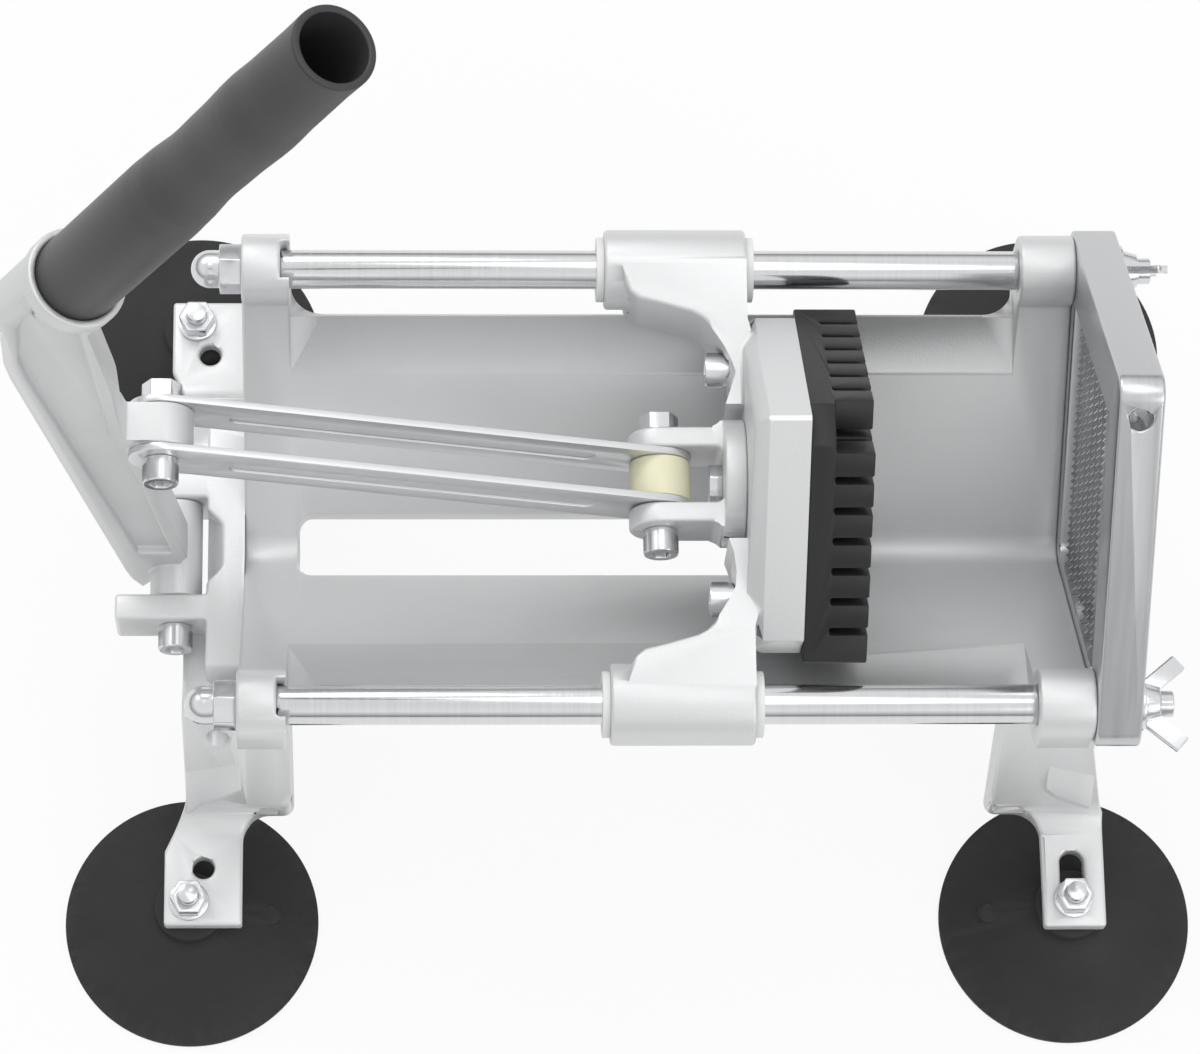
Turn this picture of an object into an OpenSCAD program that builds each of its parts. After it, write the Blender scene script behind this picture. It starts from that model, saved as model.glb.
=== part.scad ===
// Bench-top tomato slicer, worked by an upright lever. Millimetres, +Z up, +X towards the blades, -Y to the near side.
// The origin lies on the bench, midway between the four suction feet.

/* [Guide rods] */
// Height of the rod centres above the bench
rod_h = 180; // [172:1:200]
// Distance between the two rod centres
rod_gap = 176; // [172:1:182]
// Diameter of a guide rod
rod_d = 15; // [12:0.5:16]
// Diameter of the threaded rod ends
rod_thread_d = 10; // [8:1:10]

/* [Trough] */
// Free length of the trough between its two end plates
bed_len = 281.5; // [270:0.5:300]
// Gap between the pusher and the trough's sloping faces
trough_play = 7; // [4:0.5:9]
// Wall of the trough casting
trough_wall = 5; // [3:0.5:6]
// Width of the drain slot along the valley
drain_w = 25; // [14:1:30]
// Length of the drain slot
drain_len = 179; // [120:1:200]
// Length of the rear end plate along the rods
rear_plate_t = 18.5; // [14:0.5:22]
// Length of the front end plate along the rods
front_plate_t = 21.5; // [16:0.5:24]
// Radius of the rod bosses on the end plates
plate_boss_r = 13.6; // [12:0.2:15]
// Depth of the V band of an end plate, square to its faces
band_t = 23; // [14:1:26]

/* [Pusher] */
// Side of the square pusher, which stands on one corner
pusher_side = 102; // [96:1:108]
// Distance from one pusher slot, and one blade, to the next
cut_pitch = 12.5; // [9:0.5:14]
// Width of a pusher slot
slot_w = 2.9; // [2:0.1:4]
// Length of the pusher's pins
pin_len = 14.6; // [10:0.1:18]
// Thickness of the plate behind the pins
pusher_plate_t = 9.4; // [6:0.2:12]
// Free travel behind the carriage in the pose shown
rest_gap = 118; // [112:1:122]
// Length of a carriage boss along its rod
carriage_len = 54.5; // [44:0.5:60]
// Radius of a carriage boss
carriage_boss_r = 15.4; // [14:0.2:16]

/* [Blades] */
// Outer side of the square blade frame
blade_frame_side = 152; // [150:1:156]
// Thickness of the blade frame along the rods
blade_frame_t = 17; // [15:0.5:20]
// Gap between the pusher and the frame's window, all round
window_play = 2; // [1:0.5:3]
// Thickness of a blade
blade_t = 0.8; // [0.4:0.1:1.2]
// Width of a blade, from its teeth to its back
blade_w = 7.6; // [6:0.2:8]
// Distance from one tooth to the next
tooth_pitch = 3.2; // [2.4:0.2:5]

/* [Lever] */
// Height of the lever's pivot above the bench
pivot_h = 99; // [96:0.5:102]
// Distance from the pivot to the eye that carries the links
lever_r = 136.5; // [128:0.5:142]
// Thickness of the lever casting
lever_t = 15; // [12:0.5:15.5]
// Length of the hand grip beyond its socket
grip_len = 206; // [160:1:230]
// Lean of the hand grip from upright, in degrees
grip_lean = 25.8; // [20:0.1:30]
// Radius of the hand grip where it enters its socket
grip_r = 15.4; // [14:0.1:16.5]
// Radius of the hollow in the hand grip
grip_bore_r = 11.7; // [9:0.1:12]

/* [Links] */
// Height of a link plate
link_w = 24; // [20:0.5:25]
// Thickness of a link plate
link_t = 2.8; // [2:0.1:3.2]

/* [Feet] */
// Distance from the front end plate's face out to the front feet
front_overhang = 9.5; // [6:0.5:14]
// Distance between the near and the far feet
foot_pitch_y = 248; // [244:1:256]
// Radius of a suction cup
cup_r = 51; // [40:1:54]
// Height of a suction cup, up to the foot pad
cup_h = 27; // [22:0.5:30]
// Thickness of a foot pad
pad_t = 7; // [5:0.5:9]
// Diameter of the free screw hole in a rear foot pad
bench_hole_d = 8.8; // [6:0.1:10]

/* [Hidden] */
$fn = 64;

// Clearances and small allowances
overrun = 1;
shaft_play = 0.05;
screw_play = 0.3;
side_play = 0.2;
blade_play = 0.1;

// Standard fasteners: M8 cap screws, bolts and nuts, M10 on the rod ends
m8_d = 8;
m8_head_d = 13;
m8_head_h = 8;
m8_key_d = 6.9;
m8_key_depth = 4;
m8_nut_af = 13;
m8_nut_h = 6.5;
m8_washer_d = 16;
m8_washer_t = 1.6;
m10_nut_af = 17;
m10_washer_d = 20;
m10_washer_t = 2;
hex_share = 2 / sqrt(3);

// Places along the rods
rear_overhang = 23;
foot_pitch_x = rear_overhang + rear_plate_t + bed_len + front_plate_t + front_overhang;
x_rear = -foot_pitch_x / 2 + rear_overhang;
x_bed0 = x_rear + rear_plate_t;
x_bed1 = x_bed0 + bed_len;
x_front = x_bed1 + front_plate_t;
x_blade_back = x_front + blade_frame_t;

// The trough: a V of 45 degrees with a flatter flange along each side
rod_y = rod_gap / 2;
half_diagonal = pusher_side / sqrt(2);
valley_z = rod_h - half_diagonal - trough_play * sqrt(2);
valley_r = 9;
fold_y = 54.5;
fold_z = valley_z + fold_y;
rim_y = 77;
rim_rise = 9;
rim_z = fold_z + rim_rise;
flange_angle = atan2(rim_rise, rim_y - fold_y);
flange_web_r = 12;
band_z = valley_z - band_t * sqrt(2);
drain_inset = 3;
drain_corner_r = 5;
rod_notch = 3.5;

// The leg frames
pad_z = cup_h + pad_t;
leg_lean = 71;
leg_t = 8;
leg_foot_y = 88.7;
leg_top_y = (leg_foot_y * tan(leg_lean) + pad_z - band_z) / (1 + tan(leg_lean));
pad_reach_rear = 9.5;
pad_reach_front = 11.1;
pad_end_rear = foot_pitch_y / 2 + pad_reach_rear;
pad_end_front = foot_pitch_y / 2 + pad_reach_front;
pad_fillet_r = 11.6;
pad_fillet_reach = pad_fillet_r * tan(leg_lean / 2);
arch_t = 14;
leg_panel_t = 12;
leg_wing_rear = 24.3;
leg_wing_front = 15;
leg_lip_front = 3;
leg_side_y = 87;
leg_corner_r = 4.5;
leg_sweep_r = 11;
flare_rear_y0 = 84;
flare_rear_y1 = 103;
flare_front_y0 = 74;
flare_front_y1 = 88.5;
pad_w_rear = 31;
pad_w_front = 25;
pad_shift_rear = 5.5;
pad_shift_front = 0.5;
bench_hole_back = 14;
stud_to_hole_x = 5.5;
leg_hole_d = 9;
leg_hole_share = 0.554;
leg_hole_x_share = 0.42;
adjust_slot_w = 9.7;
adjust_slot_y0 = 103.8;
adjust_slot_end = 6;

// The pivot bracket on the rear leg frame
bracket_t = 14.8;
bracket_rise = 11;
bracket_top = pivot_h + bracket_rise;
bracket_half_w = 50;
x_bracket = x_rear - bracket_t;
shelf_drop = 20.5;
shelf_end_drop = 12;
shelf_z = bracket_top - shelf_drop;
shelf_end_z = bracket_top - shelf_end_drop;
lug_in_y = 20.1;
lug_t = 10.3;
lug_h = 22;
lug_reach = 23.4;
pivot_reach = 27;
pivot_x = x_rear - pivot_reach;
barrel_r = 10.2;
recess_play = 1.5;
pocket_reach = 6.3;
pocket_depth = 11;
pocket_half_w = 15;
pocket_top_half_w = 8.5;

// The carriage and the pusher
bush_flange_t = 3;
bush_flange_r = 12.5;
bush_r = 10;
bush_sleeve = 22;
x_boss0 = x_bed0 + rest_gap + bush_flange_t;
x_boss1 = x_boss0 + carriage_len;
head_set = 2.2;
head_t = 20.7;
x_head0 = x_boss1 - head_set;
x_head1 = x_head0 + head_t;
x_pins = x_head1 + pusher_plate_t;
x_tips = x_pins + pin_len;
head_chamfer = 5.3;
head_apex_cut = 1;
head_side_cut = 6.1;
web_half_h = 15;
screw_y = 46.5;
screw_seat_r = 8;
screw_seat_in = 4.5;
block_apex_cut = 8.3;
block_side_cut = 0.7;

// The carriage's curved web in plan, as shares of a boss's length and of the way out to a rod
web_back_shares = [[0.119, 0.977], [0.145, 0.868], [0.174, 0.832], [0.24, 0.799], [0.376, 0.778], [0.495, 0.756],
    [0.606, 0.736], [0.666, 0.716], [0.71, 0.689], [0.75, 0.653], [0.824, 0.58], [0.868, 0.523], [0.877, 0.455],
    [0.862, 0.368], [0.828, 0.307]];
web_front_shares = [[1.073, 0.307], [1.073, 0.602], [1.018, 0.653], [0.996, 0.705], [0.996, 0.977]];

// The linkage
eye_z = pivot_h + lever_r;
clevis_reach = 32;
clevis_base_t = 8.3;
clevis_flange_r = 24.4;
pin_x = x_head0 - clevis_reach;
pin_z = rod_h;
link_rise = eye_z - pin_z;
link_len = norm([pin_x - pivot_x, link_rise]);
link_angle = atan2(link_rise, pin_x - pivot_x);
eye_half_w = 8;
link_y0 = eye_half_w + side_play / 2;
link_y1 = link_y0 + link_t;
ear_y0 = link_y1 + side_play;
ear_t = 8;
ear_y1 = ear_y0 + ear_t;
ear_r = 12;
ear_cove_r = 3;
ear_flare_r = clevis_flange_r - ear_y1;
spacer_r = 11.7;
bead_h = 8;
bead_depth = 0.9;
bead_margin = 30;

// The lever casting, as shares of the distance from its pivot to its eye
arm_back_shares = [[-0.103, -0.139], [-0.132, -0.066], [-0.147, 0.007], [-0.366, 1.524], [-0.376, 1.634],
    [-0.372, 1.8], [-0.35, 1.96]];
arm_front_shares = [[-0.15, 1.85], [-0.103, 1.348], [-0.103, 1.165], [-0.029, 0.696], [0.037, 0.117]];
arm_pocket_shares = [[-0.105, 0.16], [-0.326, 1.53], [-0.337, 1.656], [-0.322, 1.875], [-0.275, 2.05], [-0.11, 1.975],
    [-0.168, 1.84], [-0.143, 1.363], [-0.139, 1.172], [-0.068, 0.696], [-0.006, 0.16]];
arm_pocket_depth = 3.5;
eye_r = 12;
eye_neck_share = 0.13;
bush_wall = 2.5;
socket_shares = [-0.158, 2.1];
socket_wall = 2.8;
socket_len = 30;
socket_ring_h = 7;
socket_depth = 5;
spigot_r = 5;
spigot_len = 24;
spigot_boss_r = 8;
spigot_boss_half_w = 6;
grip_floor = 12;
barrel_half_w = lug_in_y - side_play;

// The grip's outline: how far along it, and how thick, as shares of its length and its radius
grip_station_shares = [[0, 1], [0.36, 1], [0.405, 0.98], [0.52, 0.903], [0.612, 0.92], [0.738, 0.968], [0.82, 0.935],
    [0.942, 0.92], [1, 0.93]];
grip_steps = 4;

// The blade cartridge
window_side = pusher_side + 2 * window_play;
frame_corner_r = 8;
window_corner_r = 3;
blade_tongue = 12;
blade_set_gap = 0.4;
retainer_d = 3;
retainer_in = 8;
retainer_sink = 10;
retainer_shift = 2.7;
retainer_hole_d = 8.7;
tooth_depth = 1.2;
cut_count = 2 * floor((pusher_side / 2 - cut_pitch / 2) / cut_pitch) + 1;
x_blade_mid = x_front + blade_frame_t / 2;

// The rods' ends
rod_seat = 4;
acorn_hex_h = 8.5;
acorn_dome_r = 7.3;
stud_beyond = 13;
wing_hub_h = 6;
wing_hub_r = 8;
wing_span = 18.9;
wing_rise = 16.3;
wing_outline_shares = [[0.04, 0.2], [0.04, 0.5], [0.73, 1], [1, 0.725], [0.41, 0.32], [0.35, 0.2]];
wing_t = 3;
wing_turn_far = 70;

// The feet
cup_rim_t = 3;
cup_hub_r = 14;
cup_hub_h = 6;
cup_hollow_r = 40;
cup_hollow_h = 4;
cup_nub_r = 4;
cup_nub_h = 4;
cup_nub_reach = 32;
stud_root = 10;
stud_above_nut = 5;

// A round bar along X, along Y, and a profile given a thickness along each axis
module bar_x(d, x0, x1) {
    translate([x0, 0, 0]) rotate([0, 90, 0]) cylinder(d = d, h = x1 - x0);
}
module bar_y(d, y0, y1) {
    translate([0, y1, 0]) rotate([90, 0, 0]) cylinder(d = d, h = y1 - y0);
}
module along_x(x0, x1) {
    translate([x0, 0, 0]) rotate([90, 0, 90]) linear_extrude(x1 - x0) children();
}
module along_y(y0, y1) {
    translate([0, y1, 0]) rotate([90, 0, 0]) linear_extrude(y1 - y0) children();
}
module both_sides() {
    children();
    mirror([0, 1, 0]) children();
}
// Hexagonal bars along X, Y and Z, given across their flats
module hex_x(af, x0, x1) {
    translate([x0, 0, 0]) rotate([0, 90, 0]) cylinder(d = af * hex_share, h = x1 - x0, $fn = 6);
}
module hex_y(af, y0, y1) {
    translate([0, y1, 0]) rotate([90, 0, 0]) cylinder(d = af * hex_share, h = y1 - y0, $fn = 6);
}
module hex_z(af, z0, z1) {
    translate([0, 0, z0]) cylinder(d = af * hex_share, h = z1 - z0, $fn = 6);
}
// A rectangle with round corners, and a flat bar with round ends along X
module round_rect(w, h, r) {
    square([w - 2 * r, h], center = true);
    square([w, h - 2 * r], center = true);
    for (sx = [-1, 1], sy = [-1, 1])
        translate([sx * (w / 2 - r), sy * (h / 2 - r)]) circle(r);
}
module pill(len, w) {
    circle(d = w);
    translate([len, 0]) circle(d = w);
    translate([0, -w / 2]) square([len, w]);
}
// What fills the corner between two faces up to a hollow round, left of the one face and above the other
module cove(r) {
    difference() {
        translate([-r, -overrun]) square(r + overrun);
        translate([-r, r]) circle(r);
    }
}
// The square of the pusher and of the blade frame, stood on one corner
module diamond(side, r) {
    rotate(45) round_rect(side, side, r);
}

// Trough casting
function fold_offset() = trough_wall / cos((45 - flange_angle) / 2);
function fold_normal() = (45 + flange_angle) / 2;
module trough_half_profile() {
    n = fold_normal();
    k = fold_offset();
    polygon([
        [0, valley_z],
        [fold_y, fold_z],
        [rim_y, rim_z],
        [rim_y + trough_wall * sin(flange_angle), rim_z - trough_wall * cos(flange_angle)],
        [fold_y + k * sin(n), fold_z - k * cos(n)],
        [0, valley_z - trough_wall * sqrt(2)]
    ]);
}
module valley_fill() {
    reach = valley_r / sqrt(2);
    difference() {
        polygon([[0, valley_z - trough_wall], [reach, valley_z + reach], [-reach, valley_z + reach]]);
        translate([0, valley_z + valley_r * sqrt(2)]) circle(valley_r);
    }
}
module plate_profile() {
    boss_in = rod_y - plate_boss_r / sqrt(2);
    boss_out = rod_y + plate_boss_r;
    both_sides_2d() {
        polygon([
            [0, valley_z],
            [boss_in, valley_z + boss_in],
            [boss_in, rod_h],
            [boss_out, rod_h],
            [boss_out, band_z + boss_out],
            [0, band_z]
        ]);
        translate([rod_y, rod_h]) circle(plate_boss_r);
    }
}
module both_sides_2d() {
    children();
    mirror([1, 0]) children();
}
module rim_gusset(x, turn) {
    translate([x, rim_y, 0]) mirror([turn, 0, 0]) difference() {
        translate([0, -overrun, rim_z - trough_wall]) cube([flange_web_r, flange_web_r + overrun, trough_wall]);
        translate([flange_web_r, flange_web_r, rim_z - trough_wall - overrun])
            cylinder(r = flange_web_r, h = trough_wall + 2 * overrun);
    }
}
module trough_body() {
    color("#c9cbcd") difference() {
        union() {
            along_x(x_bed0, x_bed1) {
                both_sides_2d() trough_half_profile();
                valley_fill();
            }
            along_x(x_rear, x_bed0) {
                plate_profile();
                valley_fill();
            }
            along_x(x_bed1, x_front) {
                plate_profile();
                valley_fill();
            }
            both_sides() {
                rim_gusset(x_bed0, 0);
                rim_gusset(x_bed1, 1);
            }
        }
        translate([x_bed0 + drain_inset + drain_len / 2, 0, band_z])
            linear_extrude(rim_z - band_z) round_rect(drain_len, drain_w, drain_corner_r);
        both_sides() translate([0, rod_y, rod_h]) {
            bar_x(rod_thread_d + 2 * screw_play, x_rear - overrun, x_front + overrun);
            bar_x(rod_d + 2 * screw_play, x_bed0 - rod_notch, x_bed1 + rod_seat);
            translate([x_bed0 - rod_notch, -rod_d / 2, 0]) cube([rod_notch + overrun, rod_d, rod_d]);
        }
        leg_bolt_places() cylinder(d = m8_d + 2 * screw_play, h = leg_bolt_len() - m8_nut_h);
    }
}

// Leg frames: an arch below each end plate, with a foot pad at either side
function leg_x(z) = leg_foot_y - (z - pad_z) / tan(leg_lean);
leg_slant = leg_t / sin(leg_lean);
arch_y = leg_foot_y - leg_slant;
leg_bolt_y = 40;
bolt_head_z = band_z + leg_bolt_y - arch_t * sqrt(2);
rear_bolt_x = x_rear + leg_panel_t / 2;
front_bolt_x = x_bed1 + leg_panel_t / 2;
function leg_bolt_len() = arch_t * sqrt(2) + band_t / 2;
module leg_bolt_places() {
    for (x = [rear_bolt_x, front_bolt_x], side = [-1, 1])
        translate([x, side * leg_bolt_y, bolt_head_z]) children();
}
module leg_band() {
    pad_end = max(pad_end_rear, pad_end_front) + overrun;
    fillet_y = leg_foot_y + pad_fillet_reach;
    fillet_z = pad_z + pad_fillet_reach * sin(leg_lean);
    polygon([
        [leg_top_y, band_z + leg_top_y],
        [leg_foot_y, pad_z],
        [pad_end, pad_z],
        [pad_end, cup_h],
        [leg_foot_y - leg_slant, cup_h],
        [leg_top_y - leg_slant, band_z + leg_top_y - leg_slant]
    ]);
    difference() {
        polygon([
            [leg_foot_y - leg_slant / 2, pad_z - pad_t / 2],
            [fillet_y, pad_z - pad_t / 2],
            [fillet_y, pad_z + pad_fillet_r],
            [leg_x(fillet_z), fillet_z],
            [leg_x(fillet_z) - leg_slant / 2, fillet_z]
        ]);
        translate([fillet_y, pad_z + pad_fillet_r]) circle(pad_fillet_r);
    }
}
module arch_profile() {
    crown = band_z - arch_t * sqrt(2);
    polygon([
        [0, band_z],
        [leg_top_y, band_z + leg_top_y],
        [leg_x(cup_h + leg_t), cup_h + leg_t],
        [arch_y - leg_t, cup_h + leg_t],
        [leg_bolt_y + m8_head_d, crown + leg_bolt_y],
        [leg_bolt_y - m8_head_d, crown + leg_bolt_y],
        [0, crown]
    ]);
}
// Plan of a leg. Its outer edge flares out to the pad, and its inner edge steps back to the pad in one sweep.
// The edges and the pad's sides are given as pairs, the outer one first.
module leg_plan(edge_x, pad_x, flare_y, pad_end) {
    inner_w = abs(edge_x[1] - pad_x[1]);
    polygon([
        [edge_x[0], 0],
        [edge_x[0], flare_y[0]],
        [pad_x[0], flare_y[1]],
        [pad_x[0], pad_end],
        [pad_x[1], pad_end],
        [pad_x[1], 0]
    ]);
    translate([pad_x[1], 0]) mirror([edge_x[1] > pad_x[1] ? 0 : 1, 0, 0]) {
        square([inner_w - leg_corner_r, leg_side_y]);
        square([inner_w, leg_side_y - leg_corner_r]);
        translate([inner_w - leg_corner_r, leg_side_y - leg_corner_r]) circle(leg_corner_r);
        translate([0, leg_side_y]) mirror([1, 0, 0]) cove(leg_sweep_r);
    }
}
module leg_pair(edge_x, pad_x, flare_y, pad_end) {
    intersection() {
        along_x(min(edge_x[0], edge_x[1], pad_x[0]) - overrun, max(edge_x[0], edge_x[1], pad_x[0]) + overrun)
            both_sides_2d() leg_band();
        linear_extrude(rod_h) both_sides() leg_plan(edge_x, pad_x, flare_y, pad_end);
    }
}
rear_pad_x = -foot_pitch_x / 2 + pad_shift_rear;
front_pad_x = foot_pitch_x / 2 + pad_shift_front;
x_wing_rear = x_rear - leg_wing_rear;
module rear_leg_frame() {
    color("#d4d6d8") difference() {
        union() {
            difference() {
                leg_pair([x_wing_rear, x_bed0], [rear_pad_x - pad_w_rear / 2, rear_pad_x + pad_w_rear / 2],
                    [flare_rear_y0, flare_rear_y1], pad_end_rear);
                along_x(x_wing_rear - overrun, x_rear) both_sides_2d() polygon([
                    [0, shelf_z],
                    [bracket_half_w, shelf_z],
                    [leg_x(shelf_end_z), shelf_end_z],
                    [pad_end_rear, shelf_end_z],
                    [pad_end_rear, rod_h],
                    [0, rod_h]
                ]);
            }
            along_x(x_rear, x_rear + leg_panel_t) both_sides_2d() arch_profile();
            bracket_block();
        }
        translate([pivot_x, 0, pivot_h]) {
            bar_y(m8_d + 2 * screw_play, -bracket_half_w, bracket_half_w);
            bar_y(2 * (barrel_r + recess_play), -lug_in_y, lug_in_y);
        }
        bracket_pocket();
        both_sides() {
            translate([-foot_pitch_x / 2, foot_pitch_y / 2, cup_h - overrun])
                cylinder(d = m8_d + 2 * screw_play, h = pad_t + 2 * overrun);
            translate([-foot_pitch_x / 2 + stud_to_hole_x, foot_pitch_y / 2 - bench_hole_back, cup_h - overrun])
                cylinder(d = bench_hole_d, h = pad_t + 2 * overrun);
            leg_hole();
        }
        leg_bolt_places() cylinder(d = m8_d + 2 * screw_play, h = leg_bolt_len());
    }
}
// The hole through each sloping rear leg
module leg_hole() {
    z = pad_z + (band_z + leg_top_y - pad_z) * leg_hole_share;
    translate([x_rear - leg_wing_rear * leg_hole_x_share, leg_x(z), z]) rotate([leg_lean - 90, 0, 0])
        bar_y(leg_hole_d, -leg_t - overrun, leg_t);
}
// The bracket: a block across the rear plate, a shelf behind it out to each leg, and a lug at each side
module bracket_block() {
    along_x(x_bracket, x_rear) both_sides_2d() polygon([
        [0, bracket_top],
        [bracket_half_w, bracket_top],
        [bracket_half_w, shelf_z],
        [leg_x(shelf_end_z), shelf_end_z],
        [leg_x(cup_h + leg_t), cup_h + leg_t],
        [arch_y - leg_t, cup_h + leg_t],
        [leg_bolt_y + m8_head_d, bolt_head_z],
        [leg_bolt_y - m8_head_d, bolt_head_z],
        [0, band_z - arch_t * sqrt(2)]
    ]);
    along_x(x_wing_rear, x_bracket + overrun) both_sides_2d() polygon([
        [lug_in_y, shelf_z],
        [bracket_half_w, shelf_z],
        [leg_x(shelf_end_z), shelf_end_z],
        [leg_x(shelf_end_z - leg_t), shelf_end_z - leg_t],
        [leg_x(shelf_z - leg_t) - leg_slant, shelf_z - leg_t],
        [lug_in_y, shelf_z - leg_t]
    ]);
    both_sides() translate([pivot_x - lug_reach, lug_in_y, bracket_top - lug_h])
        cube([x_bracket - pivot_x + lug_reach + overrun, lug_t, lug_h]);
}
// The sloping hollow in the block in front of the lever's barrel
module bracket_pocket() {
    intersection() {
        along_y(-pocket_half_w, pocket_half_w) polygon([
            [x_bracket - overrun, bracket_top - pocket_depth],
            [x_bracket, bracket_top - pocket_depth],
            [x_bracket + pocket_reach, bracket_top],
            [x_bracket + pocket_reach, bracket_top + overrun],
            [x_bracket - overrun, bracket_top + overrun]
        ]);
        translate([0, 0, bracket_top - pocket_depth]) linear_extrude(pocket_depth + overrun) polygon([
            [x_bracket - overrun, -pocket_half_w],
            [x_bracket, -pocket_half_w],
            [x_bracket + pocket_reach, -pocket_top_half_w],
            [x_bracket + pocket_reach, pocket_top_half_w],
            [x_bracket, pocket_half_w],
            [x_bracket - overrun, pocket_half_w]
        ]);
    }
}
module front_leg_frame() {
    color("#d4d6d8") difference() {
        union() {
            leg_pair([x_front + leg_wing_front, x_bed1 - leg_lip_front],
                [front_pad_x + pad_w_front / 2, front_pad_x - pad_w_front / 2],
                [flare_front_y0, flare_front_y1], pad_end_front);
            along_x(x_bed1, x_bed1 + leg_panel_t) both_sides_2d() arch_profile();
        }
        both_sides() translate([foot_pitch_x / 2, adjust_slot_y0 + adjust_slot_w / 2, cup_h - overrun])
            rotate(90) linear_extrude(pad_t + 2 * overrun)
                pill(foot_pitch_y / 2 + adjust_slot_end - adjust_slot_y0 - adjust_slot_w, adjust_slot_w);
        leg_bolt_places() cylinder(d = m8_d + 2 * screw_play, h = leg_bolt_len());
    }
}
module leg_frame_bolts() {
    color("#b9bcc0") leg_bolt_places() {
        cylinder(d = m8_d, h = leg_bolt_len() - m8_nut_h);
        hex_z(m8_nut_af, -m8_nut_h, 0);
    }
}

// Guide rods and the nuts on their ends
module guide_rod() {
    translate([0, 0, rod_h]) {
        bar_x(rod_d, x_bed0 - rod_notch, x_bed1 + rod_seat);
        bar_x(rod_thread_d, x_rear - m10_nut_af / 2, x_blade_back + stud_beyond);
    }
}
module guide_rod_near() {
    color("#c4c8cc") translate([0, -rod_y, 0]) guide_rod();
}
module guide_rod_far() {
    color("#c4c8cc") translate([0, rod_y, 0]) guide_rod();
}
module acorn_nuts() {
    color("#d7d9dc") both_sides() translate([x_rear, rod_y, rod_h]) difference() {
        union() {
            hex_x(m10_nut_af, -acorn_hex_h, 0);
            bar_x(2 * acorn_dome_r, -acorn_hex_h - acorn_dome_r / 2, -acorn_hex_h);
            translate([-acorn_hex_h - acorn_dome_r / 2, 0, 0]) sphere(acorn_dome_r);
        }
        bar_x(rod_thread_d + 2 * shaft_play, -m10_nut_af / 2 - screw_play, overrun);
    }
}
module wing_nut() {
    difference() {
        union() {
            rotate([0, 90, 0]) cylinder(r1 = wing_hub_r, r2 = wing_hub_r * 0.8, h = wing_hub_h);
            for (side = [0, 180]) rotate([side, 0, 0]) along_y(-wing_t / 2, wing_t / 2)
                polygon([for (p = wing_outline_shares) [p[0] * wing_rise, p[1] * wing_span]]);
        }
        bar_x(rod_thread_d + 2 * shaft_play, -overrun, wing_hub_h + overrun);
    }
}
x_wing = x_blade_back + m10_washer_t;
module wing_nut_near() {
    color("#cfd2d5") translate([x_wing, -rod_y, rod_h]) rotate([90, 0, 0]) wing_nut();
}
module wing_nut_far() {
    color("#cfd2d5") translate([x_wing, rod_y, rod_h]) rotate([90 - wing_turn_far, 0, 0]) wing_nut();
}
module wing_nut_washers() {
    color("#b9bcc0") both_sides() translate([0, rod_y, rod_h]) difference() {
        bar_x(m10_washer_d, x_blade_back, x_blade_back + m10_washer_t);
        bar_x(rod_thread_d + 2 * screw_play, x_blade_back - overrun, x_wing + overrun);
    }
}

// Blade cartridge: a square frame on one corner, with two crossing sets of toothed blades on retaining rods.
// A set is drawn in the square's own axes: its blades lie along Z and are spaced along Y. The front set
// faces the pusher and runs along the near upper side, and the rear set crosses it behind.
SETS = [[-45, -1], [45, 1]];
retainer_u = window_side / 2 + retainer_in;
retainer_stop = rod_y / sqrt(2) - rod_thread_d;
function blade_x0(side) = x_blade_mid + side * (blade_w + blade_set_gap) / 2 - blade_w / 2;
function retainer_x(side) = x_blade_mid + side * retainer_shift;
module cut_row() {
    for (i = [0 : cut_count - 1])
        translate([0, (i - (cut_count - 1) / 2) * cut_pitch, 0]) children();
}
// Turns a piece from a set's own axes to the stance on one corner
module on_corner(turn) {
    translate([0, 0, rod_h]) rotate([turn, 0, 0]) children();
}
// A retaining rod goes in beside the top or bottom corner and stops short of the guide rod at its other end
module from_end(sign) {
    mirror([0, sign > 0 ? 1 : 0, 0]) children();
}
module blade_frame() {
    color("#a9adb1") difference() {
        translate([0, 0, rod_h]) along_x(x_front, x_blade_back) difference() {
            diamond(blade_frame_side, frame_corner_r);
            diamond(window_side, window_corner_r);
        }
        both_sides() translate([0, rod_y, rod_h])
            bar_x(rod_thread_d + 2 * screw_play, x_front - overrun, x_blade_back + overrun);
        for (set = SETS) on_corner(set[0]) for (side = [-1, 1]) {
            cut_row() translate([blade_x0(set[1]) - blade_play, -blade_t / 2 - blade_play,
                side * (window_side / 2 + blade_tongue / 2 - overrun / 2) - (blade_tongue + overrun) / 2])
                cube([blade_w + 2 * blade_play, blade_t + 2 * blade_play, blade_tongue + overrun]);
            translate([retainer_x(set[1]), 0, side * retainer_u]) from_end(set[1] * side)
                bar_y(retainer_d + 2 * blade_play, -blade_frame_side / 2, retainer_stop);
            if (set[1] < 0 || side < 0)
                translate([x_blade_mid, 0, side * retainer_u]) from_end(set[1] * side) bar_y(retainer_hole_d,
                    -blade_frame_side / 2 - overrun, retainer_sink - blade_frame_side / 2);
        }
    }
}
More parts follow.
